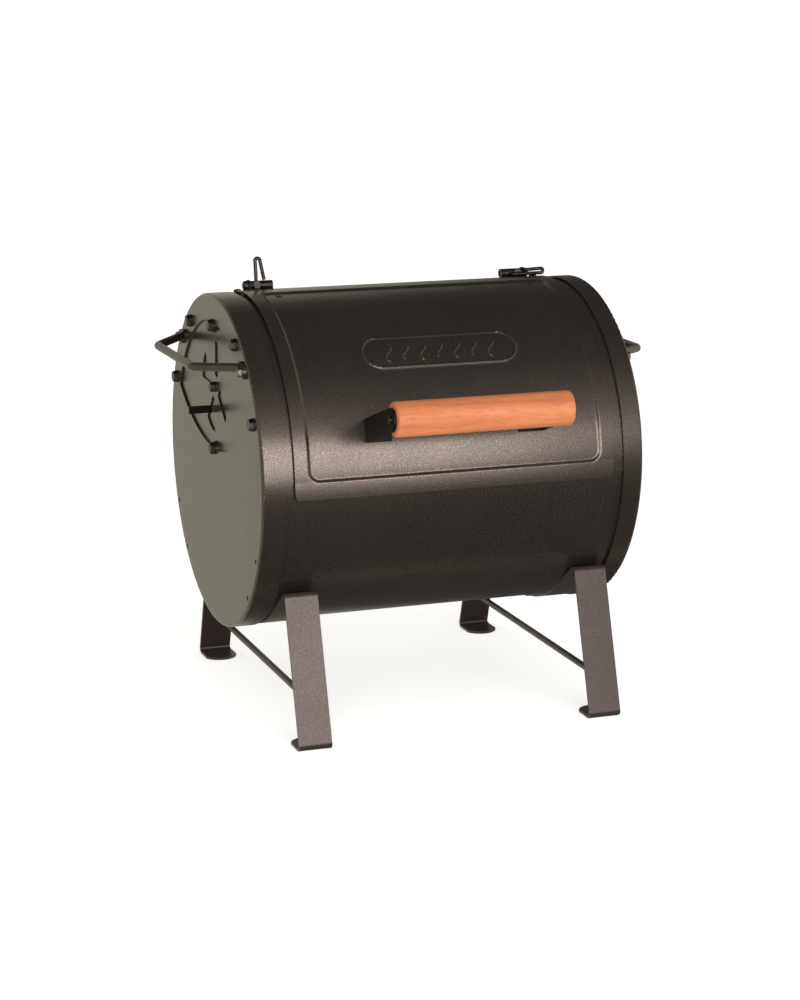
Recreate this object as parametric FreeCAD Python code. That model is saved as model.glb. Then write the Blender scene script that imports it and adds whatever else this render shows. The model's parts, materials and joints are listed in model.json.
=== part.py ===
import FreeCAD, Part
import math
import os

# Table-top barrel charcoal grill that also bolts to a bigger smoker as its side fire box.
# Millimetres. Everything is drawn around the barrel's own axis: X runs along the barrel, -Y is
# the front and Z is up. An angle on the barrel starts at the front and goes up over the top:
# 0 is the front, 90 the top, 180 the back. export() then lifts each piece onto its legs.

Vec = FreeCAD.Vector
ORIGIN = Vec(0, 0, 0)
TURN_AXIS = Vec(-1, 0, 0)       # turning about it takes the front up over the top

# ---------------------------------------------------------------- driving dimensions
AXIS_HEIGHT = 287.0             # barrel axis above the ground
SHEET = 1.2                     # rolled sheet of the shells, tray and lid
CAP_SHEET = 2.0                 # pressed sheet of the end faces
SLACK = 0.3                     # play between pieces that lie against each other
DRILL_PLAY = 0.2                # a clearance hole's radius over its bolt's
SHANK_SHARE = 0.3               # a bolt's shank radius over the width across its flats
COVER_BOLT = 12.0               # widths across flats
HANDLE_BOLT = 10.0
PIVOT_BOLT = 10.0
SMALL_BOLT = 8.0
BRACKET_BOLT = 5.5
RIVET_R = 2.4

CAP_R = 190.0                   # end pans
CAP_FACE_X = 223.2
CAP_RIM_LEFT_X = -195.5         # inner edge of the left pan's rim
CAP_RIM_RIGHT_X = 199.5
CAP_WALL = 1.5
CAP_EDGE_R = 3.0

LOWER_R = 185.5                 # outside of the lower shell
UPPER_R = 187.0                 # outside of the upper shell, which laps over the lower one
SHELL_END_X = 208.0             # both shells run into the pans
SEAM_DROP = 1.3                 # degrees that the upper shell laps below the axis
LOWER_RISE = 3.0                # degrees that the lower shell rises above the axis
MOUTH_X = 168.0                 # half length of the cooking opening
MOUTH_BACK = 92.0               # degrees

LID_R = 191.0
LID_X = 186.5
LID_FROM = -2.9
LID_TO = 98.0
LID_CORNER_R = 7.0
PANEL_X = 170.0                 # stamped panel in the lid
PANEL_FROM = 3.1
PANEL_TO = 86.0
PANEL_DEPTH = 2.0
PANEL_CORNER_R = 12.0

GRIP_R = 19.0                   # wooden lid handle
GRIP_HALF = 100.6
GRIP_REACH = 276.0              # its centre from the barrel axis
GRIP_ANGLE = 18.4
ARM_WIDTH = 26.0
ARM_THICK = 3.0
ARM_FOOT = 29.0
GRIP_SCREW_R = 2.0

PIN_Y = 40.0                    # lid hinge axis
PIN_Z = 192.0
PIN_R = 3.0
PIN_PLAY = 0.05
KNUCKLE_R = 5.25
CLIP_R = 2.1                    # hitch clips
CLIP_LEG_X = (159.4, 152.5)     # left and right
LOCK_X = 160.5
LOCK_R = 2.0
LOCK_ACROSS = 8.4
KNUCKLE_X = (140.5, 167.0)
EAR_X = (167.4, 169.8)
PIN_HEAD = (5.6, 5.2)           # radius and length
LEAF_THICK = 1.4
RIVET_ANGLE = 82.5              # the hinge leaf's flat rivets in the lid
RIVET_X = 152.2
LEAF_RIVET_R = (1.8, 3.7)       # shank and head

LEG_X = (-170.5, 175.0)         # centres of the two leg straps
LEG_WIDTH = 38.0
LEG_THICK = 3.0
LEG_FOLD = (154.0, 167.0)       # reach and height of the fold at the top of a leg
FOOT_REACH = 206.0
FOOT_TIP = 163.0
FOOT_TIP_R = 21.0
FOOT_BEND_R = 4.5
BRACE_X = (-168.0, 170.0)
BRACE_HEIGHT = 48.0
BRACE_R = 3.75

CARRY_ROD_R = 4.75              # end handles
CARRY_BEND = (267.0, 76.0, 123.0)
CARRY_FOOT = (118.5, 126.5)
CARRY_BOLT = (128.5, 123.5)
CARRY_DROP = 9.0                # the drawer's handle sits this much lower
CARRY_PAD_R = 8.5
CARRY_PAD_THICK = 3.4

VENT_R = (14.0, 53.0)           # four openings around each damper's pivot
VENT_HALF = 19.0
VENT_AT = (68.0, 158.0, 248.0, 338.0)
VENT_LEFT_Z = 85.0
VENT_RIGHT_Z = -75.0
PIVOT_R = PIVOT_BOLT * SHANK_SHARE
DAMPER_R = 58.0
DAMPER_HOLE_HALF = 22.0
DAMPER_LAG = 3.0                # degrees that the blades sit past the openings when shut
TAB_U = 14.0
TAB_Z = (-32.3, -23.7)
TAB_OUT_X = 248.0
TAB_THICK = 1.5

LENS_UPPER_R = 160.0            # lens-shaped cut-out in the left pan
LENS_LOWER_R = 246.0
LENS_LOWER_Z = 260.5            # height of the lower arc's centre
COVER_LAP = 18.0                # the cover plate laps behind the cut-out
COVER_BOLTS = ((0.0, 155.0), (93.0, 147.0), (-93.0, 147.0), (159.0, 70.7), (-159.0, 70.7), (0.0, 14.5))
COVER_EAR_R = 8.5
FIREBOX_HOLES = ((162.0, -80.0), (-162.0, -80.0), (127.5, -129.5), (-127.5, -129.5))
FIREBOX_HOLE_R = 2.75

TRAY_R = 172.0                  # ash tray
TRAY_LEFT_X = -195.0
TRAY_LIP_Z = -12.0
TRAY_LIP_Y = 181.2
RAIL_WEB_Y = (181.9, 183.4)
RAIL_X = (-200.0, 196.0)
RAIL_TOP_Z = 10.0
RAIL_LEG_Y = 172.5
RAIL_RIVET_DROP = 0.7           # degrees below the barrel's axis
GRATE_Z = (10.2, 18.2)
GRATE_Y = 178.0
GRATE_X = (1.0, 165.0)
GRATE_BAR = 5.0
COAL_Z = -94.0
COAL_Y = 139.5
COAL_X = (-186.0, 196.0)

FRONT_REACH = GRIP_REACH * math.cos(math.radians(GRIP_ANGLE)) + GRIP_R
AXIS_Y = (FRONT_REACH - FOOT_REACH) / 2     # puts the origin midway between front and back
BELOW = -AXIS_HEIGHT                        # the ground, seen from the barrel axis


# ---------------------------------------------------------------- helpers
def export(name, *shapes):
    """Write one node, lifted from the barrel axis to the frame that stands on the ground."""
    solids = [solid for shape in shapes for solid in shape.Solids]
    node = solids[0] if len(solids) == 1 else Part.makeCompound(solids)
    node = node.copy()
    node.translate(Vec(0, AXIS_Y, AXIS_HEIGHT))
    node.exportStep("parts/" + name + ".step")


def on_barrel(x, radius, angle):
    turn = math.radians(angle)
    return Vec(x, -radius * math.cos(turn), radius * math.sin(turn))


def outward(angle):
    return on_barrel(0, 1, angle)


def turned(shape, angle):
    """Turn a shape about the barrel axis, the way the angles run."""
    return shape.rotated(ORIGIN, TURN_AXIS, angle)


def ring_sector(r_in, r_out, x_from, x_to, a_from, a_to, centre_z=0.0):
    """Piece of a tube about an axis along X, between two radii and two angles."""
    corners = [on_barrel(x_from, r_in, a_from), on_barrel(x_to, r_in, a_from),
               on_barrel(x_to, r_out, a_from), on_barrel(x_from, r_out, a_from)]
    face = Part.Face(Part.makePolygon(corners + corners[:1]))
    sector = face.revolve(ORIGIN, TURN_AXIS, a_to - a_from)
    sector.translate(Vec(0, 0, centre_z))
    return sector


def rounded_sector(corner_r, *extent):
    """Ring sector whose four corners, seen from outside, are rounded."""
    sector = ring_sector(*extent)
    corners = [edge for edge in sector.Edges
               if edge.Curve.TypeId == "Part::GeomLine" and abs(edge.tangentAt(0).x) < 0.5]
    return sector.makeFillet(corner_r, corners)


def box(x, y, z):
    """Box between pairs of limits."""
    sizes = [abs(pair[1] - pair[0]) for pair in (x, y, z)]
    return Part.makeBox(*sizes, Vec(min(x), min(y), min(z)))


def x_cylinder(radius, x_from, x_to, y=0.0, z=0.0):
    return Part.makeCylinder(radius, abs(x_to - x_from), Vec(min(x_from, x_to), y, z), Vec(1, 0, 0))


def hexagon(across, height, base, direction):
    """Hexagonal prism standing on base, with one pair of flats level where it can be."""
    corner_r = across / math.sqrt(3)
    corners = [Vec(corner_r * math.cos(k * math.pi / 3), corner_r * math.sin(k * math.pi / 3), 0)
               for k in range(6)]
    prism = Part.Face(Part.makePolygon(corners + corners[:1])).extrude(Vec(0, 0, height))
    prism.Placement = FreeCAD.Placement(base, FreeCAD.Rotation(Vec(0, 0, 1), direction))
    return prism


def bolt(face_point, out, grip, across, head=4.0, nut=5.0, tail=2.0):
    """Hex bolt with a chamfered head, a washer and its nut, through a grip of sheet."""
    washer_r = across * 0.62
    washer = Part.makeCylinder(washer_r, 1.0, face_point, out)
    trim = Part.makeCone(across * 0.64, across * 0.5, head, face_point + out, out)
    head_block = hexagon(across, head, face_point + out, out).common(trim)
    back = face_point - out * (grip + SLACK / 3)
    shank = Part.makeCylinder(across * SHANK_SHARE, grip + nut + tail + 1, back - out * (nut + tail), out)
    return washer.fuse([head_block, shank, hexagon(across, nut, back - out * nut, out)])


def hole(point, out, radius, depth=40.0):
    """Cutter for a round hole, centred on a point."""
    return Part.makeCylinder(radius, depth, point - out * (depth / 2), out)


def bolt_holes(places, across, depth=40.0):
    """Clearance cutters for bolts at (point, direction) places."""
    return [hole(point, out, across * SHANK_SHARE + DRILL_PLAY, depth) for point, out in places]


def rivet_bores(places):
    return [hole(point, out, RIVET_R + DRILL_PLAY / 2, 20.0) for point, out in places]


def rivet(point, out, grip):
    """Rivet with a low domed head outside and a flat upset head inside."""
    radius = RIVET_R
    head_h = radius * 0.8
    back = -grip - SLACK / 3
    head = Part.makeCylinder(radius * 2, head_h)
    head = head.makeFillet(head_h * 0.9, [edge for edge in head.Edges if edge.CenterOfMass.z > head_h * 0.9])
    shank = Part.makeCylinder(radius, -back, Vec(0, 0, back))
    upset = Part.makeCylinder(radius * 1.6, 1.0, Vec(0, 0, back - 1))
    body = head.fuse([shank, upset])
    body.Placement = FreeCAD.Placement(point, FreeCAD.Rotation(Vec(0, 0, 1), out))
    return body


def path_edges(points, radius):
    """Lines and tangent arcs through points, each inner corner rounded."""
    edges = []
    start = points[0]
    for before, corner, after in zip(points, points[1:], points[2:]):
        back = (before - corner).normalize()
        ahead = (after - corner).normalize()
        half = back.getAngle(ahead) / 2
        reach = radius / math.tan(half)
        middle = corner + (back + ahead).normalize() * (radius / math.sin(half) - radius)
        arc_from = corner + back * reach
        arc_to = corner + ahead * reach
        edges.append(Part.makeLine(start, arc_from))
        edges.append(Part.Arc(arc_from, middle, arc_to).toShape())
        start = arc_to
    edges.append(Part.makeLine(start, points[-1]))
    return edges


def bent_rod(points, bend_r, rod_r):
    """Round bar bent through points."""
    path = Part.Wire(path_edges(points, bend_r))
    direction = points[1] - points[0]
    section = Part.Wire(Part.Circle(points[0], direction, rod_r).toShape())
    return path.makePipeShell([section], True, True)


def bent_strap(points, bend_r, thick, width, x_middle):
    """Flat bar bent through points in the YZ plane, drawn on its centre line."""
    path = Part.Wire(path_edges(points, bend_r))
    start = (points[1] - points[0]).normalize()
    side = Vec(1, 0, 0).cross(start) * (thick / 2)
    across = Vec(width / 2, 0, 0)
    corners = [points[0] + side - across, points[0] + side + across,
               points[0] - side + across, points[0] - side - across]
    strap = path.makePipeShell([Part.makePolygon(corners + corners[:1])], True, True)
    strap.translate(Vec(x_middle, 0, 0))
    return strap


# ---------------------------------------------------------------- barrel shells
def rail_rivet_points():
    """Where the support rails are riveted, front and back: x, angle and skin radius."""
    for x in (-120.0, 0.0, 120.0):
        yield x, -RAIL_RIVET_DROP, LOWER_R
        yield x, 180 + RAIL_RIVET_DROP, UPPER_R


def rail_rivets():
    grip_in = RAIL_WEB_Y[0]
    return [rivet(on_barrel(x, skin, a), outward(a), skin - grip_in) for x, a, skin in rail_rivet_points()]


def rivet_holes():
    radius = RIVET_R + DRILL_PLAY / 2
    return [hole(on_barrel(x, skin, a), outward(a), radius) for x, a, skin in rail_rivet_points()]


def leg_bolt_points(x_middle):
    return [(Vec(x_middle + x, 0, -LOWER_R - SLACK - LEG_THICK), outward(-90.0)) for x in (-10.0, 10.0)]


def hinge_foot_points(side):
    """Bolts that hold a hinge bracket on the upper shell."""
    angles = [hinge_angle() + shift for shift in (-1.3, 1.3)]
    return [(on_barrel(side * 182.0, UPPER_R + 2.1, a), outward(a)) for a in angles]


def hinge_angle():
    return math.degrees(math.atan2(PIN_Z, -PIN_Y))


def cap_rivet_points():
    """Rivets through the left pan's rim, out of sight from the front."""
    return [(on_barrel(-201.5, CAP_R, a), outward(a)) for a in (115.0, 150.0, 205.0, 240.0)]


def lower_shell():
    shell = ring_sector(LOWER_R - SHEET, LOWER_R, -SHELL_END_X, SHELL_END_X, -180.0 - LOWER_RISE, LOWER_RISE)
    cuts = rivet_holes()
    for x_middle in LEG_X:
        cuts += bolt_holes(leg_bolt_points(x_middle), SMALL_BOLT)
    return shell.cut(cuts + rivet_bores(cap_rivet_points()))


def upper_shell():
    shell = ring_sector(UPPER_R - SHEET, UPPER_R, -SHELL_END_X, SHELL_END_X, -SEAM_DROP, 180.0 + SEAM_DROP)
    mouth = rounded_sector(10.0, UPPER_R - 20, UPPER_R + 20, -MOUTH_X, MOUTH_X, -20.0, MOUTH_BACK)
    cuts = [mouth] + rivet_holes()
    for side in (-1, 1):
        cuts += bolt_holes(hinge_foot_points(side), BRACKET_BOLT)
    return shell.cut(cuts + rivet_bores(cap_rivet_points()))


# ---------------------------------------------------------------- end pans, vents and dampers
def pan(face_x, rim_x):
    """Round pressed end: a flat face with a rim that laps over the shells."""
    inward = 1 if rim_x > face_x else -1
    outside = x_cylinder(CAP_R, face_x, rim_x)
    face_edges = [edge for edge in outside.Edges
                  if edge.Closed and abs(edge.CenterOfMass.x - face_x) < 0.01]
    outside = outside.makeFillet(CAP_EDGE_R, face_edges)
    return outside.cut(x_cylinder(CAP_R - CAP_WALL, face_x + inward * CAP_SHEET, rim_x + inward))


def vent_cutters(centre_z, x_from, x_to, half, shift=0.0):
    """Four openings around a damper's pivot."""
    return [ring_sector(*VENT_R, x_from, x_to, a + shift - half, a + shift + half, centre_z) for a in VENT_AT]


def carry_drop(side):
    return CARRY_DROP if side > 0 else 0.0


def handle_bolt_points(side):
    x = side * (CAP_FACE_X + CARRY_PAD_THICK + 0.1)
    z = CARRY_BOLT[1] - carry_drop(side)
    return [(Vec(x, y * CARRY_BOLT[0], z), Vec(side, 0, 0)) for y in (-1, 1)]


def cover_bolt_points():
    return [(Vec(-CAP_FACE_X, y, z), Vec(-1, 0, 0)) for y, z in COVER_BOLTS]


def lens(lap, x_from, x_to):
    """Lens between an upper arc about the barrel axis and a flatter lower one."""
    upper = x_cylinder(LENS_UPPER_R + lap, x_from, x_to)
    return upper.common(x_cylinder(LENS_LOWER_R + lap * 0.9, x_from, x_to, 0, LENS_LOWER_Z))


def left_end_cap():
    deep = (-CAP_FACE_X - 5, -CAP_FACE_X + 5)
    ears = [x_cylinder(COVER_EAR_R, *deep, y, z) for y, z in COVER_BOLTS]
    cuts = [lens(0, *deep).cut(ears)]
    cuts += bolt_holes(cover_bolt_points(), COVER_BOLT) + bolt_holes(handle_bolt_points(-1), HANDLE_BOLT)
    cuts += [hole(Vec(-CAP_FACE_X, y, z), Vec(-1, 0, 0), FIREBOX_HOLE_R) for y, z in FIREBOX_HOLES]
    return pan(-CAP_FACE_X, CAP_RIM_LEFT_X).cut(cuts + rivet_bores(cap_rivet_points()))


def cover_plate():
    x_from = -CAP_FACE_X + CAP_SHEET + SLACK
    x_to = x_from + CAP_WALL
    cuts = vent_cutters(VENT_LEFT_Z, x_from - 1, x_to + 1, VENT_HALF)
    cuts += bolt_holes(cover_bolt_points(), COVER_BOLT) + bolt_holes(handle_bolt_points(-1), HANDLE_BOLT)
    cuts.append(x_cylinder(PIVOT_R + DRILL_PLAY, x_from - 1, x_to + 1, 0, VENT_LEFT_Z))
    return lens(COVER_LAP, x_from, x_to).cut(cuts)


def damper(side, plate_back_x, centre_z):
    """Four-bladed disc on a pivot behind the openings, with a finger tab through one of them."""
    front = plate_back_x - side * SLACK
    back = front - side * SHEET
    disc = x_cylinder(DAMPER_R, front, back, 0, centre_z)
    tab = box((back, side * TAB_OUT_X), (TAB_U, TAB_U + TAB_THICK),
              (centre_z + TAB_Z[0], centre_z + TAB_Z[1]))
    holes = vent_cutters(centre_z, min(front, back) - 1, max(front, back) + 1,
                         DAMPER_HOLE_HALF, 45.0 + DAMPER_LAG)
    holes.append(x_cylinder(PIVOT_R + PIN_PLAY, front + side, back - side, 0, centre_z))
    return disc.cut(holes).fuse(tab)


def carry_handle(side):
    """Bent round bar whose flattened ends are bolted on an end face."""
    x_out, bend_y, bend_z = CARRY_BEND
    foot_y, foot_z = CARRY_FOOT
    face_x = side * (CAP_FACE_X + 0.1)
    start_x = side * (CAP_FACE_X + 2.0)
    rod = bent_rod([Vec(start_x, -foot_y, foot_z), Vec(side * x_out, -bend_y, bend_z),
                    Vec(side * x_out, bend_y, bend_z), Vec(start_x, foot_y, foot_z)], 12.0, CARRY_ROD_R)
    pieces = []
    for y in (-1, 1):
        pad_x = face_x + side * CARRY_PAD_THICK
        pieces.append(x_cylinder(CARRY_PAD_R, face_x, pad_x, y * CARRY_BOLT[0], CARRY_BOLT[1]))
        pieces.append(x_cylinder(CARRY_PAD_R * 0.8, face_x, pad_x, y * foot_y, foot_z))
    handle = rod.fuse(pieces)
    inside = box((face_x, 0), (-CAP_R, CAP_R), (0, CAP_R))
    handle = handle.cut(inside)
    handle.translate(Vec(0, 0, -carry_drop(side)))
    return handle.cut(bolt_holes(handle_bolt_points(side), HANDLE_BOLT))


def drawer_front():
    cuts = vent_cutters(VENT_RIGHT_Z, CAP_FACE_X - 5, CAP_FACE_X + 5, VENT_HALF)
    cuts += bolt_holes(tray_bolt_points(), SMALL_BOLT) + bolt_holes(handle_bolt_points(1), HANDLE_BOLT)
    cuts.append(x_cylinder(PIVOT_R + DRILL_PLAY, CAP_FACE_X - 5, CAP_FACE_X + 5, 0, VENT_RIGHT_Z))
    return pan(CAP_FACE_X, CAP_RIM_RIGHT_X).cut(cuts)


# ---------------------------------------------------------------- ash drawer
def tray_bolt_points():
    """Bolts through the drawer front into the tray's end wall."""
    x = CAP_FACE_X
    return [(on_barrel(x, 160.0, a), Vec(1, 0, 0)) for a in (-20.0, -55.0, -125.0, -160.0)]


def drawer_tray():
    """Half-round tray with two end walls and a lip along each side that runs on the rails."""
    right_x = CAP_FACE_X - CAP_SHEET - 0.2
    lip_angle = math.degrees(math.asin(TRAY_LIP_Z / TRAY_R))
    trough = ring_sector(TRAY_R - SHEET, TRAY_R, TRAY_LEFT_X, right_x, -180 - lip_angle, lip_angle)
    below_lip = box((TRAY_LEFT_X, right_x), (-CAP_R, CAP_R), (-CAP_R, TRAY_LIP_Z))
    wall = x_cylinder(TRAY_R, TRAY_LEFT_X, TRAY_LEFT_X + SHEET).common(below_lip)
    flange = x_cylinder(TRAY_R, right_x - SHEET, right_x).common(below_lip)
    flange = flange.cut(x_cylinder(TRAY_R - 24, right_x - 5, right_x + 5))
    edge_y = TRAY_R * math.cos(math.radians(lip_angle)) - SHEET
    lips = [box((TRAY_LEFT_X, right_x - 24), (y * edge_y, y * TRAY_LIP_Y), (TRAY_LIP_Z, TRAY_LIP_Z + SHEET))
            for y in (-1, 1)]
    tray = trough.fuse([wall, flange] + lips)
    return tray.cut(bolt_holes(tray_bolt_points(), SMALL_BOLT))


def charcoal_grate():
    """Rods that rest across the tray's curved sides."""
    rods = [Part.makeCylinder(3.0, 2 * COAL_Y, Vec(x, -COAL_Y, COAL_Z), Vec(0, 1, 0))
            for x in (-176.0, -58.0, 68.0, 186.0)]
    spacing = 2 * (COAL_Y - 12) / 12
    for k in range(13):
        y = -COAL_Y + 12 + k * spacing
        rods.append(x_cylinder(2.5, *COAL_X, y, COAL_Z + 3.5))
    return rods[0].multiFuse(rods[1:])


# ---------------------------------------------------------------- rails and cooking grates
def support_rail(y_side):
    """Channel riveted inside the shell: its lower leg carries the drawer, its upper leg the grates."""
    web = [y_side * y for y in RAIL_WEB_Y]
    leg = (y_side * RAIL_LEG_Y, web[1])
    lower_leg_z = TRAY_LIP_Z - SLACK
    rail = box(RAIL_X, web, (lower_leg_z - 1.5, RAIL_TOP_Z))
    lower = box(RAIL_X, (y_side * (TRAY_R + 2.5), web[1]), (lower_leg_z - 1.5, lower_leg_z))
    upper = box(RAIL_X, leg, (RAIL_TOP_Z - 1.5, RAIL_TOP_Z))
    return rail.fuse([lower, upper]).cut(rivet_holes())


def cooking_grate(side):
    """Cast grate: a rim with bars from front to back and one cross bar."""
    near, far = side * GRATE_X[0], side * GRATE_X[1]
    inner_x = (near + side * 8, far - side * 8)
    rim = box((near, far), (-GRATE_Y, GRATE_Y), GRATE_Z)
    rim = rim.cut(box(inner_x, (-GRATE_Y + 10, GRATE_Y - 10), (GRATE_Z[0] - 1, GRATE_Z[1] + 1)))
    bars = [box(inner_x, (-4, 4), GRATE_Z)]
    count = 10
    pitch = (inner_x[1] - inner_x[0]) / count
    for k in range(1, count):
        x = inner_x[0] + k * pitch
        bars.append(box((x - GRATE_BAR / 2, x + GRATE_BAR / 2), (-GRATE_Y + 5, GRATE_Y - 5), GRATE_Z))
    return rim.multiFuse(bars)


# ---------------------------------------------------------------- legs
def leg_strap(x_middle):
    """One flat bar: a saddle under the barrel, a sharp fold on each side, two legs and two feet."""
    saddle_in = LOWER_R + SLACK
    saddle_mid = saddle_in + LEG_THICK / 2
    fold_y, fold_height = LEG_FOLD
    fold = Vec(0, -fold_y, fold_height - AXIS_HEIGHT)
    fold_angle = math.degrees(math.atan2(fold.z, fold_y))
    leave = fold_angle - math.degrees(math.acos(saddle_mid / fold.Length))
    x_from = x_middle - LEG_WIDTH / 2
    x_to = x_middle + LEG_WIDTH / 2
    saddle = ring_sector(saddle_in, saddle_in + LEG_THICK, x_from, x_to, -180 - leave, leave)
    sole = BELOW + LEG_THICK / 2
    tip_centre = FOOT_TIP + FOOT_TIP_R
    points = [on_barrel(0, saddle_mid, leave), fold, Vec(0, -FOOT_REACH, sole), Vec(0, -tip_centre, sole)]
    leg = bent_strap(points, FOOT_BEND_R, LEG_THICK, LEG_WIDTH, x_middle)
    tip = Part.makeCylinder(FOOT_TIP_R, LEG_THICK, Vec(x_middle, -tip_centre, BELOW))
    tip = tip.common(box((x_from, x_to), (-tip_centre, 0), (BELOW, 0)))
    front = leg.fuse(tip)
    back = front.mirror(ORIGIN, Vec(0, 1, 0))
    strap = saddle.fuse([front, back])
    return strap.cut(bolt_holes(leg_bolt_points(x_middle), SMALL_BOLT))


def leg_bolts(x_middle):
    grip = LEG_THICK + SLACK + SHEET
    return [bolt(point, out, grip, SMALL_BOLT, 4.0, 4.0, 1.0) for point, out in leg_bolt_points(x_middle)]


def brace(x, strap):
    """Round bar welded between the two legs of a strap."""
    rod = Part.makeCylinder(BRACE_R, 2 * FOOT_REACH, Vec(x, -FOOT_REACH, BELOW + BRACE_HEIGHT), Vec(0, 1, 0))
    spans = rod.cut(strap).Solids
    return max(spans, key=lambda span: span.Volume)


# ---------------------------------------------------------------- lid
def lid_skin():
    """Rolled lid with a panel pressed inwards."""
    panel = (-PANEL_X, PANEL_X, PANEL_FROM, PANEL_TO)
    grow = math.degrees(SHEET / LID_R)
    panel_back = (-PANEL_X - SHEET, PANEL_X + SHEET, PANEL_FROM - grow, PANEL_TO + grow)
    reach = (-LID_X - 10, LID_X + 10, LID_FROM - 5, LID_TO + 5)
    outside = ring_sector(LID_R - 30, LID_R, *reach)
    outside = outside.cut(rounded_sector(PANEL_CORNER_R, LID_R - PANEL_DEPTH, LID_R + 5, *panel))
    inside = ring_sector(LID_R - 40, LID_R - SHEET, *reach)
    pressed = LID_R - PANEL_DEPTH - SHEET
    inside = inside.cut(rounded_sector(PANEL_CORNER_R + SHEET, pressed, LID_R + 5, *panel_back))
    blank = rounded_sector(LID_CORNER_R, LID_R - 10, LID_R + 10, -LID_X, LID_X, LID_FROM, LID_TO)
    skin = outside.cut(inside).common(blank)
    return skin.cut(bolt_holes(arm_bolt_points(), SMALL_BOLT, 20.0) + leaf_rivet_holes(LEAF_RIVET_R[1]))


def arm_bolt_points():
    radius = LID_R - PANEL_DEPTH + 0.1 + ARM_THICK
    return [(on_barrel(side * 88.0, radius, GRIP_ANGLE), outward(GRIP_ANGLE)) for side in (-1, 1)]


def grip_screw_points():
    return [(on_barrel(side * (GRIP_HALF + 0.1 + ARM_THICK), GRIP_REACH, GRIP_ANGLE), Vec(side, 0, 0))
            for side in (-1, 1)]


def lid_arm(side):
    """Flat arm that stands off the lid, with its foot turned inboard under the handle."""
    seat = LID_R - PANEL_DEPTH + 0.1
    x_in = side * (GRIP_HALF + 0.1)
    x_out = x_in + side * ARM_THICK
    half = ARM_WIDTH / 2
    end = GRIP_REACH - 2
    # drawn level in front of the barrel, then turned up to the handle's angle
    arm = box((x_in, x_out), (-end, -seat), (-half, half))
    arm = arm.fuse(x_cylinder(half, x_in, x_out, -end, 0))
    foot_half = math.degrees(half / seat)
    foot = ring_sector(seat, seat + ARM_THICK, min(x_out, x_out - side * ARM_FOOT),
                       max(x_out, x_out - side * ARM_FOOT), -foot_half, foot_half)
    clear = x_cylinder(seat, -LID_X, LID_X)
    bracket = turned(arm.cut(clear).fuse(foot), GRIP_ANGLE)
    cuts = [hole(point, out, GRIP_SCREW_R + DRILL_PLAY, 20.0) for point, out in grip_screw_points()]
    return bracket.cut(cuts + bolt_holes(arm_bolt_points(), SMALL_BOLT, 20.0))


def lid_grip():
    """Turned wooden handle with softly rounded ends."""
    centre = on_barrel(0, GRIP_REACH, GRIP_ANGLE)
    grip = x_cylinder(GRIP_R, -GRIP_HALF, GRIP_HALF, centre.y, centre.z)
    grip = grip.makeFillet(3.0, [edge for edge in grip.Edges if edge.Closed])
    return grip.cut([hole(point, out, GRIP_SCREW_R + PIN_PLAY, 70.0) for point, out in grip_screw_points()])


def grip_screw(point, out):
    head = Part.makeCylinder(4.5, 2.6, point, out)
    head = head.makeFillet(1.5, [edge for edge in head.Edges if (edge.CenterOfMass - point).dot(out) > 2])
    return head.fuse(Part.makeCylinder(GRIP_SCREW_R, 34.0, point - out * 34.0, out))


# ---------------------------------------------------------------- lid hinges
def hinge_place(shape):
    """Move a hinge piece, drawn over the top of the barrel, back to the hinge's own angle."""
    return turned(shape, hinge_angle() - 90)


def pin_reach():
    return math.hypot(PIN_Y, PIN_Z)


def hinge_bracket(side):
    """Ear that carries the pin's outer end, on a foot bolted to the upper shell."""
    x = [side * limit for limit in EAR_X]
    foot_r = UPPER_R + 0.1
    ear = box(x, (-6.5, 6.5), (foot_r + 1, pin_reach()))
    ear = ear.fuse(x_cylinder(6.5, *x, 0, pin_reach()))
    half = math.degrees(8.0 / UPPER_R)
    foot_x = sorted((x[0], side * 187.0))
    foot = ring_sector(foot_r, foot_r + 2.0, *foot_x, 90 - half, 90 + half)
    bracket = hinge_place(ear.fuse(foot))
    cuts = bolt_holes(hinge_foot_points(side), BRACKET_BOLT, 20.0)
    return bracket.cut(cuts + [x_cylinder(PIN_R + PIN_PLAY, *x, PIN_Y, PIN_Z)])


def leaf_rivet_points():
    radius = LID_R - PANEL_DEPTH
    return [(on_barrel(side * RIVET_X, radius, RIVET_ANGLE), outward(RIVET_ANGLE)) for side in (-1, 1)]


def leaf_rivet_holes(radius):
    return [hole(point, out, radius + DRILL_PLAY / 2, 12.0) for point, out in leaf_rivet_points()]


def leaf_rivet(point, out):
    """Flat rivet whose head fills its hole in the lid and stands just proud of it."""
    under = point - out * (SHEET + 0.2)
    back = under - out * (LEAF_THICK + SLACK / 3)
    head = Part.makeCylinder(LEAF_RIVET_R[1], SHEET + 0.3, under + out * 0.1, out)
    shank = Part.makeCylinder(LEAF_RIVET_R[0], 2.2, back, out)
    return head.fuse([shank, Part.makeCylinder(LEAF_RIVET_R[0] * 1.6, 1.0, back - out, out)])


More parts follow.
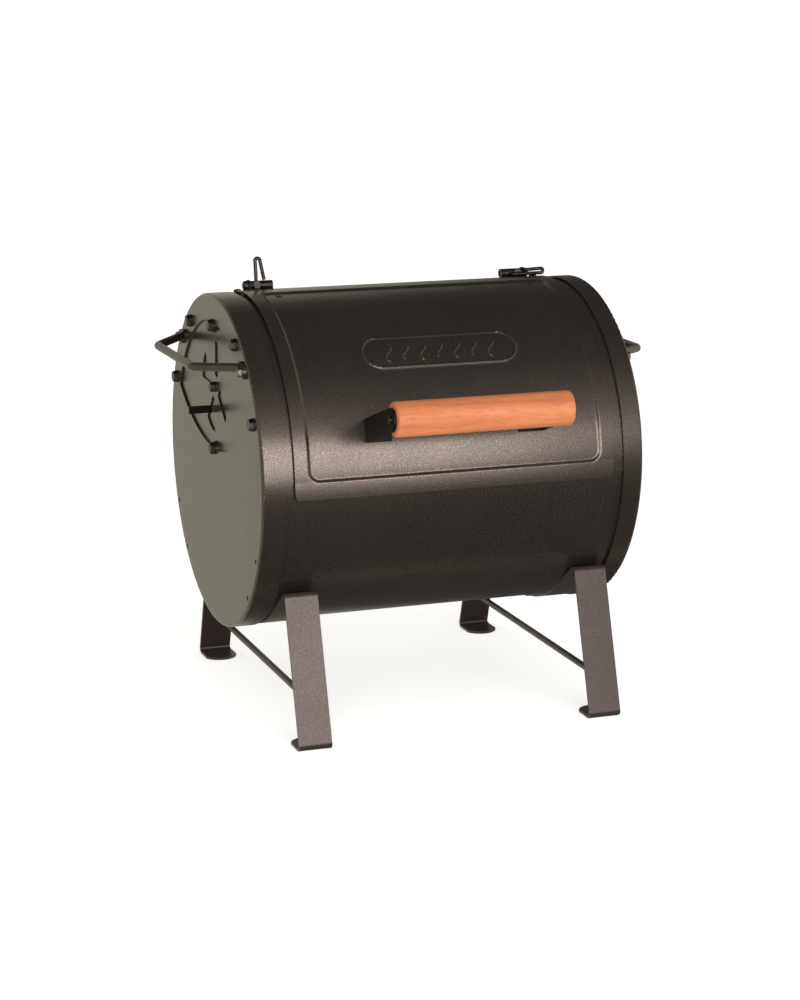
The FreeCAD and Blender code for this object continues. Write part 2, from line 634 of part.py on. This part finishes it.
def hinge_leaf(side):
    """Knuckle on a strap that runs in under the lid's back edge."""
    x = sorted(side * limit for limit in KNUCKLE_X)
    under_lid = LID_R - SHEET - 0.2
    under_panel = under_lid - PANEL_DEPTH
    thick = LEAF_THICK
    step = (PANEL_TO + 1.4, PANEL_TO + 2.2)
    back_strap = ring_sector(under_lid - thick, under_lid, *x, step[0], hinge_angle() - 1.5)
    front_strap = ring_sector(under_panel - thick, under_panel, *x, RIVET_ANGLE - 5.0, step[1])
    joggle = ring_sector(under_panel - thick, under_lid, *x, *step)
    top = pin_reach()
    bottom = under_lid - thick
    outline = [Vec(x[0], y, z) for y, z in ((-9, bottom), (-3, bottom), (3.5, top - 4), (0, top),
                                            (-4.6, top - 4.8), (-9, bottom + thick))]
    web = Part.Face(Part.makePolygon(outline + outline[:1])).extrude(Vec(x[1] - x[0], 0, 0))
    tube = x_cylinder(KNUCKLE_R, *x, 0, top)
    leaf = hinge_place(web.fuse(tube)).fuse([back_strap, front_strap, joggle])
    point, out = lock_bolt_point(side)
    cuts = [x_cylinder(PIN_R + PIN_PLAY, x[0] - 1, x[1] + 1, PIN_Y, PIN_Z), clip_hole(side),
            Part.makeCylinder(LOCK_R + DRILL_PLAY / 2, 5.0, point + out, out * -1)]
    return leaf.cut(cuts + leaf_rivet_holes(LEAF_RIVET_R[0]))


def lock_bolt_point(side):
    """The bolt that locks a pin in its knuckle stands on the front of the knuckle."""
    front = outward(hinge_angle() - 90)
    return Vec(side * LOCK_X, PIN_Y, PIN_Z) + front * (KNUCKLE_R + 0.3), front


def lock_bolt(side):
    point, out = lock_bolt_point(side)
    depth = KNUCKLE_R + 0.3 - PIN_R - PIN_PLAY
    trim = Part.makeCone(LOCK_ACROSS * 0.64, LOCK_ACROSS * 0.53, 3.4, point, out)
    head = hexagon(LOCK_ACROSS, 3.4, point, out).common(trim)
    return head.fuse(Part.makeCylinder(LOCK_R, depth, point - out * depth, out))


def clip_hole(side):
    """Cross hole through knuckle and pin for a hitch clip's straight leg."""
    if side < 0:
        return Part.makeCylinder(CLIP_R + PIN_PLAY, 20.0, Vec(-CLIP_LEG_X[0], PIN_Y, PIN_Z - 10))
    return Part.makeCylinder(CLIP_R + PIN_PLAY, 20.0, Vec(CLIP_LEG_X[1], PIN_Y - 10, PIN_Z), Vec(0, 1, 0))


def hinge_pin(side):
    """Pin with a domed head outboard of the ear; its other end sits just inside the knuckle."""
    radius, length = PIN_HEAD
    head_x = side * (EAR_X[1] + SLACK)
    shank = x_cylinder(PIN_R, side * (KNUCKLE_X[0] + 1.0), head_x, PIN_Y, PIN_Z)
    head = x_cylinder(radius, head_x, head_x + side * length, PIN_Y, PIN_Z)
    outer = [edge for edge in head.Edges if edge.Closed and abs(edge.CenterOfMass.x - head_x) > length / 2]
    return shank.fuse(head.makeFillet(3.0, outer)).cut(clip_hole(side))


def left_clip():
    """Hitch clip standing upright: one leg goes down through the pin, the other rests on the knuckle."""
    x = -CLIP_LEG_X[0]
    top = PIN_Z + 30.8
    rest = PIN_Z + KNUCKLE_R + 0.8
    points = [Vec(x, PIN_Y, PIN_Z - 8), Vec(x, PIN_Y, PIN_Z + 8), Vec(x - 1.0, PIN_Y, top),
              Vec(x + 4.3, PIN_Y, top), Vec(x + 9.6, PIN_Y, rest)]
    return bent_rod(points, 2.4, CLIP_R)


def right_clip():
    """The other clip goes through from the back and is bent outboard in front of the ear."""
    x = CLIP_LEG_X[1]
    front = PIN_Y - 11.8
    points = [Vec(x, PIN_Y + 8, PIN_Z), Vec(x, front, PIN_Z), Vec(x + 38.0, front, PIN_Z + 0.2),
              Vec(x + 38.0, front, PIN_Z + 5.6), Vec(x + 14.0, front, PIN_Z + 4.5)]
    return bent_rod(points, 2.6, CLIP_R)


# ---------------------------------------------------------------- nodes
def write_barrel():
    export("lower_shell", lower_shell())
    export("upper_shell", upper_shell())
    export("rail_rivets", *rail_rivets())
    export("support_rail_front", support_rail(-1))
    export("support_rail_rear", support_rail(1))
    export("cooking_grate_left", cooking_grate(-1))
    export("cooking_grate_right", cooking_grate(1))


def write_left_end():
    sheets = CAP_SHEET + SLACK + CAP_WALL
    out = Vec(-1, 0, 0)
    pivot = Vec(-CAP_FACE_X + CAP_SHEET + SLACK, 0, VENT_LEFT_Z)
    plate_back = pivot.x + CAP_WALL
    export("left_end_cap", left_end_cap())
    export("cover_plate", cover_plate())
    export("cover_plate_bolts", *[bolt(p, o, sheets, COVER_BOLT, 4.6) for p, o in cover_bolt_points()])
    export("left_cap_rivets", *[rivet(p, o, CAP_R - LOWER_R + SHEET) for p, o in cap_rivet_points()])
    export("left_damper", damper(-1, plate_back, VENT_LEFT_Z))
    export("left_damper_bolt", bolt(pivot, out, CAP_WALL + 2 * SLACK + SHEET, PIVOT_BOLT, 5.5))
    export("left_carry_handle", carry_handle(-1))
    grip = sheets + CARRY_PAD_THICK + 0.1
    export("left_handle_bolts", *[bolt(p, o, grip, HANDLE_BOLT) for p, o in handle_bolt_points(-1)])


def write_drawer():
    pivot = Vec(CAP_FACE_X, 0, VENT_RIGHT_Z)
    export("drawer_front", drawer_front())
    export("drawer_tray", drawer_tray())
    grip = CAP_SHEET + 0.2 + SHEET
    export("tray_bolts", *[bolt(p, o, grip, SMALL_BOLT, 4.0, 4.0) for p, o in tray_bolt_points()])
    export("charcoal_grate", charcoal_grate())
    export("right_damper", damper(1, CAP_FACE_X - CAP_SHEET, VENT_RIGHT_Z))
    grip = CAP_SHEET + 2 * SLACK + SHEET
    export("right_damper_bolt", bolt(pivot, Vec(1, 0, 0), grip, PIVOT_BOLT, 5.5))
    export("right_carry_handle", carry_handle(1))
    grip = CAP_SHEET + CARRY_PAD_THICK + 0.1
    export("right_handle_bolts", *[bolt(p, o, grip, HANDLE_BOLT) for p, o in handle_bolt_points(1)])


def write_legs():
    for name, x_middle, brace_x in zip(("left", "right"), LEG_X, BRACE_X):
        strap = leg_strap(x_middle)
        export("leg_strap_" + name, strap)
        export("leg_bolts_" + name, *leg_bolts(x_middle))
        export("brace_" + name, brace(brace_x, strap))


def write_lid():
    export("lid_skin", lid_skin())
    export("lid_grip", lid_grip())
    export("lid_grip_screws", *[grip_screw(p, o) for p, o in grip_screw_points()])
    arm_grip = ARM_THICK + 0.1 + SHEET
    export("lid_arm_bolts", *[bolt(p, o, arm_grip, SMALL_BOLT, 3.5, 4.0, 1.0) for p, o in arm_bolt_points()])
    export("hinge_leaf_rivets", *[leaf_rivet(p, o) for p, o in leaf_rivet_points()])
    export("hinge_lock_bolts", lock_bolt(-1), lock_bolt(1))
    export("hitch_clip_left", left_clip())
    export("hitch_clip_right", right_clip())
    foot_points = hinge_foot_points(-1) + hinge_foot_points(1)
    grip = 2.1 + SHEET
    export("hinge_bracket_bolts", *[bolt(p, o, grip, BRACKET_BOLT, 2.6, 3.0, 1.0) for p, o in foot_points])
    for name, side in (("left", -1), ("right", 1)):
        export("lid_arm_" + name, lid_arm(side))
        export("hinge_bracket_" + name, hinge_bracket(side))
        export("hinge_leaf_" + name, hinge_leaf(side))
        export("hinge_pin_" + name, hinge_pin(side))


os.makedirs("parts", exist_ok=True)
write_barrel()
write_left_end()
write_drawer()
write_legs()
write_lid()
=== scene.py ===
import bpy
import json
import math
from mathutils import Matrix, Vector


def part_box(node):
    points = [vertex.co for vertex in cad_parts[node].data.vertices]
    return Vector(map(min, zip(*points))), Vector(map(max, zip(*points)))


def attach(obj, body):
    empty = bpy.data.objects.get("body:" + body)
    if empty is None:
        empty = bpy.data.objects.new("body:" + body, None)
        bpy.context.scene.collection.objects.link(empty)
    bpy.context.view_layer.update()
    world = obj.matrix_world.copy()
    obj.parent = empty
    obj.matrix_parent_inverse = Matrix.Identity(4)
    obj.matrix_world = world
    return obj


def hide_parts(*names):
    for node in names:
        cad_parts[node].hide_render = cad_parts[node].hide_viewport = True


# A short barrel grill in a white studio. Metres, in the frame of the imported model: +X runs along the
# barrel, -Y is the front and +Z is up. Angles on the barrel start at the front and go over the top.

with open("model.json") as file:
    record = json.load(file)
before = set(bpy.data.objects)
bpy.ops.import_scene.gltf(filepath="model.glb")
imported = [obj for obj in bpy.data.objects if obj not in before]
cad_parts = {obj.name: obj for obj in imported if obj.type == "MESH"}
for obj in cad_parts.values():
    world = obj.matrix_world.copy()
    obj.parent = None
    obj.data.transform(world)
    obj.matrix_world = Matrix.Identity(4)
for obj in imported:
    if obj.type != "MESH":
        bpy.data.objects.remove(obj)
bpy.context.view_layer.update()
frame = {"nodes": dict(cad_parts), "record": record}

MM = 0.001

# ---------------------------------------------------------------- places read from the frame
CAP_LOW, CAP_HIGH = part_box("left_end_cap")
AXIS_Y = (CAP_LOW.y + CAP_HIGH.y) / 2
AXIS_Z = (CAP_LOW.z + CAP_HIGH.z) / 2
LID_LOW, LID_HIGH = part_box("lid_skin")
LID_R = AXIS_Y - LID_LOW.y
LID_X = LID_HIGH.x
LID_FROM = math.degrees(math.asin((LID_LOW.z - AXIS_Z) / LID_R))
LID_TO = math.degrees(math.acos((AXIS_Y - LID_HIGH.y) / LID_R))

# ---------------------------------------------------------------- the stamped lid
LID_SHEET = 1.2 * MM
LID_CORNER_R = 7 * MM
PANEL_X = 170 * MM              # half length of the recessed panel
PANEL_FROM = 3.1                # degrees
PANEL_TO = 86.0
PANEL_CORNER_R = 12 * MM
PANEL_DEPTH = 2 * MM
PANEL_WALL = 3.6 * MM           # width of its sloping wall
HEM_FLARE = 0.9 * MM            # the hem under the panel stands off the barrel by this much at its edge
COARSE_STEP = 5.5 * MM
WALL_STEP = 1.0 * MM
EMBLEM_STEP = 1.0 * MM
EMBLEM_ANGLE = 46.0             # degrees up from the front
EMBLEM_HALF = (90 * MM, 20 * MM)
BEAD_HALF = 1.5 * MM            # half width of the emblem's raised lines
BEAD_HEIGHT = 1.3 * MM
FLAME_PITCH = 20 * MM
FLAME_COUNT = 7


def smooth(x):
    """0 below 0, 1 above 1, and an even S between."""
    x = min(max(x, 0.0), 1.0)
    return x * x * (3 - 2 * x)


def on_barrel(x, radius, angle):
    turn = math.radians(angle)
    return Vector((x, AXIS_Y - radius * math.cos(turn), AXIS_Z + radius * math.sin(turn)))


def arc(angle):
    """Length along the lid's outside, from the front."""
    return LID_R * math.radians(angle)


def graded(stops):
    """Values through (value, step up to the next one) stops."""
    values = [stops[0][0]]
    for (start, step), (end, _) in zip(stops, stops[1:]):
        count = max(1, math.ceil((end - start) / step))
        values += [start + (end - start) * k / count for k in range(1, count + 1)]
    return values


def rounded_distance(x, y, half_x, half_y, radius):
    """Distance outside a rounded rectangle about the origin; negative inside it."""
    dx = abs(x) - half_x + radius
    dy = abs(y) - half_y + radius
    return math.hypot(max(dx, 0.0), max(dy, 0.0)) + min(max(dx, dy), 0.0) - radius


def flame_distance(x, y):
    """Distance to the nearest of the wavy upright lines inside the emblem."""
    nearest = round(x / FLAME_PITCH)
    if abs(nearest) > FLAME_COUNT // 2:
        return 1.0
    length = EMBLEM_HALF[1] * (0.62 if nearest % 2 else 0.48)
    sway = 4.2 * MM * math.sin(y / EMBLEM_HALF[1] * 1.5 * math.pi)
    return math.hypot(x - nearest * FLAME_PITCH - sway, max(abs(y) - length, 0.0))


def stamping(x, s):
    """Height of the lid's skin over its plain cylinder: a recessed panel with raised beads in it."""
    middle = (arc(PANEL_FROM) + arc(PANEL_TO)) / 2
    half = (arc(PANEL_TO) - arc(PANEL_FROM)) / 2
    outside = rounded_distance(x, s - middle, PANEL_X, half, PANEL_CORNER_R)
    height = -PANEL_DEPTH * smooth(0.5 - outside / PANEL_WALL)
    height += HEM_FLARE * min(max(0.0, arc(PANEL_FROM) - s) / (arc(PANEL_FROM) - arc(LID_FROM)), 1.0)
    y = s - arc(EMBLEM_ANGLE)
    if abs(x) < EMBLEM_HALF[0] + BEAD_HALF and abs(y) < EMBLEM_HALF[1] + BEAD_HALF:
        ring = abs(rounded_distance(x, y, *EMBLEM_HALF, EMBLEM_HALF[1]))
        height += BEAD_HEIGHT * smooth(1 - min(ring, flame_distance(x, y)) / BEAD_HALF)
    return height


def corner_inset(s):
    """How far the lid's side edge draws in at a rounded corner."""
    short = LID_CORNER_R - min(s - arc(LID_FROM), arc(LID_TO) - s)
    if short <= 0:
        return 0.0
    return LID_CORNER_R - math.sqrt(max(LID_CORNER_R ** 2 - short ** 2, 0.0))


def lid_columns():
    wall = PANEL_X - PANEL_CORNER_R - PANEL_WALL
    emblem = EMBLEM_HALF[0] + BEAD_HALF
    right = [(emblem, COARSE_STEP), (wall, WALL_STEP), (PANEL_X + PANEL_WALL, COARSE_STEP), (LID_X, 1)]
    left = [(-LID_X, COARSE_STEP), (-PANEL_X - PANEL_WALL, WALL_STEP), (-wall, COARSE_STEP)]
    return graded(left + [(-emblem, EMBLEM_STEP)] + right)


def lid_rows():
    reach = PANEL_CORNER_R + PANEL_WALL
    low, high = arc(PANEL_FROM), arc(PANEL_TO)
    emblem = EMBLEM_HALF[1] + BEAD_HALF
    middle = arc(EMBLEM_ANGLE)
    return graded([(arc(LID_FROM), WALL_STEP), (arc(LID_FROM) + LID_CORNER_R, COARSE_STEP / 2),
                   (low - PANEL_WALL, WALL_STEP), (low + reach, COARSE_STEP / 2),
                   (middle - emblem, EMBLEM_STEP), (middle + emblem, COARSE_STEP / 2),
                   (high - reach, WALL_STEP), (high + PANEL_WALL, COARSE_STEP / 2),
                   (arc(LID_TO) - LID_CORNER_R, WALL_STEP), (arc(LID_TO), 1)])


def add_lid():
    """Rolled sheet with the stamped panel, closed by its inner face and its edges."""
    columns, rows = lid_columns(), lid_rows()
    wide, tall = len(columns), len(rows)
    points = []
    for sheet in (0.0, LID_SHEET):
        for s in rows:
            squeeze = 1 - corner_inset(s) / LID_X
            for x in columns:
                radius = LID_R + stamping(x, s) - sheet
                points.append(on_barrel(x * squeeze, radius, math.degrees(s / LID_R)))
    inner = wide * tall
    faces = []
    for row in range(tall - 1):
        for column in range(wide - 1):
            a = row * wide + column
            quad = (a, a + 1, a + wide + 1, a + wide)
            faces.append(quad)
            faces.append(tuple(inner + k for k in reversed(quad)))
    across = [row * wide for row in range(tall)]
    along = list(range(wide))
    edges = [along, [k + wide - 1 for k in across], [k + inner - wide for k in reversed(along)],
             list(reversed(across))]
    for edge in edges:
        for a, b in zip(edge, edge[1:]):
            faces.append((b, a, a + inner, b + inner))
    mesh = bpy.data.meshes.new("lid_panel")
    mesh.from_pydata(points, [], faces)
    mesh.polygons.foreach_set("use_smooth", [True] * len(mesh.polygons))
    mesh.set_sharp_from_angle(angle=math.radians(50))
    lid = bpy.data.objects.new("lid_panel", mesh)
    bpy.context.scene.collection.objects.link(lid)
    mesh.materials.append(BY_SLOT["shell_coat"])
    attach(lid, "lid")
    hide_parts("lid_skin")


# ---------------------------------------------------------------- camera, floor and lights
CAMERA_AZIMUTH = 19.76          # degrees to the left of straight ahead
CAMERA_RISE = 12.92
CAMERA_DISTANCE = 2.875
CAMERA_LENS = 88.34
CAMERA_SENSOR = 36.0
CAMERA_REACH = 200.0
AIM_X = 0.0009
AIM_BELOW_AXIS = 0.0634


def add_camera():
    target = Vector((AIM_X, AXIS_Y, AXIS_Z - AIM_BELOW_AXIS))
    azimuth = math.radians(CAMERA_AZIMUTH)
    rise = math.radians(CAMERA_RISE)
    level = math.cos(rise)
    direction = Vector((-math.sin(azimuth) * level, -math.cos(azimuth) * level, math.sin(rise)))
    data = bpy.data.cameras.new("camera")
    data.lens = CAMERA_LENS
    data.sensor_width = CAMERA_SENSOR
    data.clip_end = CAMERA_REACH
    camera = bpy.data.objects.new("camera", data)
    camera.location = target + direction * CAMERA_DISTANCE
    camera.rotation_euler = (-direction).to_track_quat("-Z", "Y").to_euler()
    bpy.context.scene.collection.objects.link(camera)
    bpy.context.scene.camera = camera


FLOOR_SIZE = 120.0
FLOOR_ALBEDO = 0.95
FLOOR_GLOW = 0.52
BACKDROP_R = 30.0
BACKDROP_GLOW = 1.05
KEY_PLACE = (-0.22, -1.5, 0.515)
KEY_AIM = (-0.22, 0, 0.515)
KEY_SIZE = (1.76, 0.65)
KEY_RADIANCE = 5.5
BROAD_ANGLE = 110               # degrees across the two broad lights
OVERHEAD = 0.85                 # irradiance of the broad overhead light
BOUNCE = 1.3                    # irradiance that the pale floor throws up
FACING_UP = math.pi             # tilt of a light that shines upwards
BACK_GLOW = (0.72, 0.70, 0.58)
ROOM_DIM = 0.06
# brightness of the room in front, from straight down (0) over level (0.5) to straight up (1)
FRONT_GLOW = [(0.0, 0.03), (0.5, 0.02), (0.6, 1.3), (0.77, 0.62), (0.835, 0.33), (0.93, 0.06), (1.0, 0.03)]


def studio_paper(name, albedo, glow):
    paper = bpy.data.materials.new(name)
    paper.use_nodes = True
    shader = paper.node_tree.nodes["Principled BSDF"]
    shader.inputs["Base Color"].default_value = (albedo, albedo, albedo, 1)
    shader.inputs["Roughness"].default_value = 1.0
    shader.inputs["Specular IOR Level"].default_value = 0.0
    shader.inputs["Emission Color"].default_value = (1, 1, 1, 1)
    shader.inputs["Emission Strength"].default_value = glow
    return paper


def backdrop_only(obj):
    """A stage piece that is seen, but throws no light on the grill."""
    obj.visible_diffuse = False
    obj.visible_glossy = False
    obj.visible_shadow = False


def add_stage():
    bpy.ops.mesh.primitive_plane_add(size=FLOOR_SIZE)
    floor = bpy.context.object
    floor.name = "floor"
    floor.data.materials.append(studio_paper("floor_paper", FLOOR_ALBEDO, FLOOR_GLOW))
    backdrop_only(floor)
    bpy.ops.mesh.primitive_uv_sphere_add(segments=32, ring_count=16, radius=BACKDROP_R)
    sky = bpy.context.object
    sky.name = "backdrop"
    sky.data.materials.append(studio_paper("backdrop_paper", 0.0, BACKDROP_GLOW))
    backdrop_only(sky)


def add_softbox(name, centre, aim, size, radiance):
    """Area light at a point, facing another."""
    data = bpy.data.lights.new(name, "AREA")
    data.shape = "RECTANGLE"
    data.size, data.size_y = size
    data.energy = radiance * math.pi * size[0] * size[1]
    light = bpy.data.objects.new(name, data)
    light.location = centre
    light.rotation_euler = (Vector(aim) - Vector(centre)).to_track_quat("-Z", "Y").to_euler()
    light.visible_camera = False
    bpy.context.scene.collection.objects.link(light)


def add_broad_light(name, irradiance, tilt):
    """Very soft directional light that models the matt surfaces and adds no gloss."""
    data = bpy.data.lights.new(name, "SUN")
    data.energy = irradiance
    data.angle = math.radians(BROAD_ANGLE)
    light = bpy.data.objects.new(name, data)
    light.rotation_euler = (tilt, 0, 0)
    light.visible_glossy = False
    bpy.context.scene.collection.objects.link(light)


def grey(value):
    return (value, value, value)


def math_node(tree, operation, first, second):
    node = tree.nodes.new("ShaderNodeMath")
    node.operation = operation
    tree.links.new(first, node.inputs[0])
    tree.links.new(second, node.inputs[1])
    return node.outputs[0]


def add_surroundings():
    """Dim room: a glow above the key light in front, a paler backdrop behind, paler walls at the sides."""
    world = bpy.data.worlds.new("studio")
    bpy.context.scene.world = world
    world.use_nodes = True
    tree = world.node_tree
    parts = tree.nodes.new("ShaderNodeSeparateXYZ")
    tree.links.new(tree.nodes.new("ShaderNodeTexCoord").outputs["Generated"], parts.inputs[0])
    along, across, up = parts.outputs["X"], parts.outputs["Y"], parts.outputs["Z"]
    front = ramp(tree, remap(tree, up, -1, 1, 0, 1), [(place, grey(glow)) for place, glow in FRONT_GLOW])
    low = remap(tree, up, 0.35, 0.75, 1.0, 0.0)
    left_of_gap = remap(tree, math_node(tree, "DIVIDE", along, across), 0.27, 0.45, 1.0, 0.0)
    back = mix_colours(tree, math_node(tree, "MULTIPLY", low, left_of_gap), grey(ROOM_DIM), BACK_GLOW)
    room = mix_colours(tree, remap(tree, across, -0.2, 0.2, 0.0, 1.0), front, back)
    sides = math_node(tree, "MAXIMUM", remap(tree, along, 0.52, 0.75, 0.0, 1.0),
                      remap(tree, along, -0.1, -0.5, 0.0, 1.0))
    walls = mix_colours(tree, math_node(tree, "MULTIPLY", low, sides), room, BACK_GLOW)
    tree.links.new(walls, tree.nodes["Background"].inputs["Color"])


def add_lights():
    add_surroundings()
    add_broad_light("overhead", OVERHEAD, 0.0)
    add_broad_light("floor_bounce", BOUNCE, FACING_UP)
    add_softbox("key", KEY_PLACE, KEY_AIM, KEY_SIZE, KEY_RADIANCE)
    bpy.context.scene.view_settings.view_transform = "Standard"


# ---------------------------------------------------------------- materials
def new_material(name):
    material = bpy.data.materials.new(name)
    material.use_nodes = True
    tree = material.node_tree
    return material, tree, tree.nodes["Principled BSDF"]


def object_coords(tree):
    return tree.nodes.new("ShaderNodeTexCoord").outputs["Object"]


def noise(tree, coords, scale, detail=2.0, rough=0.5):
    node = tree.nodes.new("ShaderNodeTexNoise")
    node.inputs["Scale"].default_value = scale
    node.inputs["Detail"].default_value = detail
    node.inputs["Roughness"].default_value = rough
    tree.links.new(coords, node.inputs["Vector"])
    return node.outputs["Fac"]


def ramp(tree, value, stops):
    """Colour ramp through (position, colour) stops."""
    node = tree.nodes.new("ShaderNodeValToRGB")
    first, last = node.color_ramp.elements
    first.position, first.color = stops[0][0], (*stops[0][1], 1)
    last.position, last.color = stops[-1][0], (*stops[-1][1], 1)
    for position, colour in stops[1:-1]:
        middle = node.color_ramp.elements.new(position)
        middle.color = (*colour, 1)
    tree.links.new(value, node.inputs["Fac"])
    return node.outputs["Color"]


def remap(tree, value, low_in, high_in, low_out, high_out):
    node = tree.nodes.new("ShaderNodeMapRange")
    node.inputs["From Min"].default_value = low_in
    node.inputs["From Max"].default_value = high_in
    node.inputs["To Min"].default_value = low_out
    node.inputs["To Max"].default_value = high_out
    tree.links.new(value, node.inputs["Value"])
    return node.outputs["Result"]


def mix_colours(tree, mask, first, second):
    """first where the mask is 0, second where it is 1; each is a socket or a colour."""
    node = tree.nodes.new("ShaderNodeMix")
    node.data_type = "RGBA"
    for socket, colour in ((node.inputs[6], first), (node.inputs[7], second)):
        if isinstance(colour, tuple):
            socket.default_value = (*colour, 1)
        else:
            tree.links.new(colour, socket)
    tree.links.new(mask, node.inputs["Factor"])
    return node.outputs[2]


def add_bump(tree, shader, height, strength, distance):
    bump = tree.nodes.new("ShaderNodeBump")
    bump.inputs["Strength"].default_value = strength
    bump.inputs["Distance"].default_value = distance
    tree.links.new(height, bump.inputs["Height"])
    tree.links.new(bump.outputs["Normal"], shader.inputs["Normal"])


def scaled(colour, factor):
    return tuple(channel * factor for channel in colour)


def powder_coat(name, colour, roughness=0.27, metal=0.8, sparkle=0.8):
    """Metallic powder coat: fine soft flakes over a faintly mottled base."""
    material, tree, shader = new_material(name)
    coords = object_coords(tree)
    mottle = ramp(tree, noise(tree, coords, 14.0, 4.0),
                  [(0.35, scaled(colour, 0.93)), (0.65, scaled(colour, 1.06))])
    flakes = noise(tree, coords, 1300.0, 1.5, 0.6)
    mask = remap(tree, flakes, 0.5, 0.8, 0.0, sparkle)
    tree.links.new(mix_colours(tree, mask, mottle, scaled(colour, 3.2)), shader.inputs["Base Color"])
    shader.inputs["Metallic"].default_value = metal
    gloss = remap(tree, flakes, 0.3, 0.7, roughness + 0.05, roughness - 0.05)
    tree.links.new(gloss, shader.inputs["Roughness"])
    add_bump(tree, shader, noise(tree, coords, 900.0, 2.0, 0.6), 0.08, 0.0002)
    return material


def damper_coat(name):
    """The shell's coat, with the tab that stands out of the left damper coloured nearly black."""
    material = powder_coat(name, SHELL_COLOUR)
    tree = material.node_tree
    base = tree.nodes["Principled BSDF"].inputs["Base Color"]
    place = tree.nodes.new("ShaderNodeSeparateXYZ")
    tree.links.new(object_coords(tree), place.inputs[0])
    disc_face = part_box("left_damper")[1].x - TAB_ROOT
    tab = remap(tree, place.outputs["X"], disc_face - 1.0 * MM, disc_face, 1.0, 0.0)
    tree.links.new(mix_colours(tree, tab, base.links[0].from_socket, TAB_COLOUR), base)
    return material


def steel(name, dark, light, roughness):
    material, tree, shader = new_material(name)
    coords = object_coords(tree)
    patches = noise(tree, coords, 160.0, 4.0, 0.6)
    tree.links.new(ramp(tree, patches, [(0.3, dark), (0.7, light)]), shader.inputs["Base Color"])
    shader.inputs["Metallic"].default_value = 0.9
    gloss = remap(tree, patches, 0.3, 0.7, roughness - 0.07, roughness + 0.1)
    tree.links.new(gloss, shader.inputs["Roughness"])
    add_bump(tree, shader, noise(tree, coords, 1500.0, 2.0), 0.1, 0.0002)
    return material


def cast_iron(name):
    material, tree, shader = new_material(name)
    coords = object_coords(tree)
    grit = noise(tree, coords, 420.0, 4.0, 0.65)
    tree.links.new(ramp(tree, grit, [(0.3, (0.012, 0.012, 0.012)), (0.75, (0.045, 0.042, 0.04))]),
                   shader.inputs["Base Color"])
    tree.links.new(remap(tree, grit, 0.3, 0.7, 0.75, 0.55), shader.inputs["Roughness"])
    shader.inputs["Metallic"].default_value = 0.3
    add_bump(tree, shader, grit, 0.5, 0.0005)
    return material


def grip_wood(name):
    """Straight-grained stained hardwood, its grain along X."""
    material, tree, shader = new_material(name)
    stretch = tree.nodes.new("ShaderNodeMapping")
    stretch.inputs["Scale"].default_value = (0.07, 1.0, 1.0)
    tree.links.new(object_coords(tree), stretch.inputs["Vector"])
    grain = noise(tree, stretch.outputs["Vector"], 900.0, 5.0, 0.7)
    bands = noise(tree, stretch.outputs["Vector"], 90.0, 3.0, 0.55)
    tone = ramp(tree, bands, [(0.3, (0.46, 0.135, 0.046)), (0.5, (0.58, 0.184, 0.066)),
                              (0.7, (0.64, 0.225, 0.086))])
    pores = remap(tree, grain, 0.48, 0.72, 0.0, 0.75)
    tree.links.new(mix_colours(tree, pores, tone, (0.34, 0.075, 0.028)), shader.inputs["Base Color"])
    tree.links.new(remap(tree, grain, 0.3, 0.7, 0.5, 0.65), shader.inputs["Roughness"])
    add_bump(tree, shader, grain, 0.2, 0.0003)
    return material


SHELL_COLOUR = (0.076, 0.061, 0.052)
TAB_COLOUR = (0.010, 0.009, 0.008)
TAB_ROOT = 2.6 * MM             # the tab starts this far out from the inner face of the left disc
SHELL = powder_coat("shell_coat", SHELL_COLOUR)
LEG = powder_coat("leg_coat", (0.056, 0.042, 0.037), 0.38, 0.55)
HANDLE = powder_coat("handle_coat", (0.060, 0.053, 0.044), 0.36)
BLACK = powder_coat("black_coat", (0.006, 0.005, 0.004), 0.55, 0.6, 0.2)
BLACKENED = powder_coat("heat_coat", (0.035, 0.033, 0.03), 0.55, 0.4)
DARK_BOLT = steel("dark_bolt", (0.03, 0.027, 0.024), (0.08, 0.072, 0.065), 0.38)
BRIGHT_BOLT = steel("bright_bolt", (0.10, 0.095, 0.085), (0.2, 0.19, 0.17), 0.36)
HINGE = steel("hinge_steel", (0.03, 0.026, 0.024), (0.07, 0.062, 0.056), 0.36)
DAMPER = damper_coat("damper_coat")
IRON = cast_iron("grate_iron")
WOOD = grip_wood("grip_wood")

BY_SLOT = {
    "shell_coat": SHELL,
    "leg_coat": LEG,
    "handle_coat": HANDLE,
    "black_coat": BLACK,
    "bare_steel": BLACKENED,
    "dark_bolt": DARK_BOLT,
    "bright_bolt": BRIGHT_BOLT,
    "hinge_steel": HINGE,
    "grate_iron": IRON,
    "grip_wood": WOOD,
}


# nodes whose finish differs from the rest of their slot
BY_NODE = {
    "left_damper": DAMPER,
    "hinge_leaf_rivets": BLACK,
    "lid_grip_screws": DARK_BOLT,
}


def dress_frame():
    """Give each CAD node its own finish, or that of its slot in the record."""
    for subpart in frame["record"]["subparts"]:
        name = subpart["node"]
        node = frame["nodes"][name]
        node.data.materials.clear()
        node.data.materials.append(BY_NODE.get(name, BY_SLOT[subpart["material_slot"]]))


add_camera()
add_stage()
add_lights()
dress_frame()
add_lid()
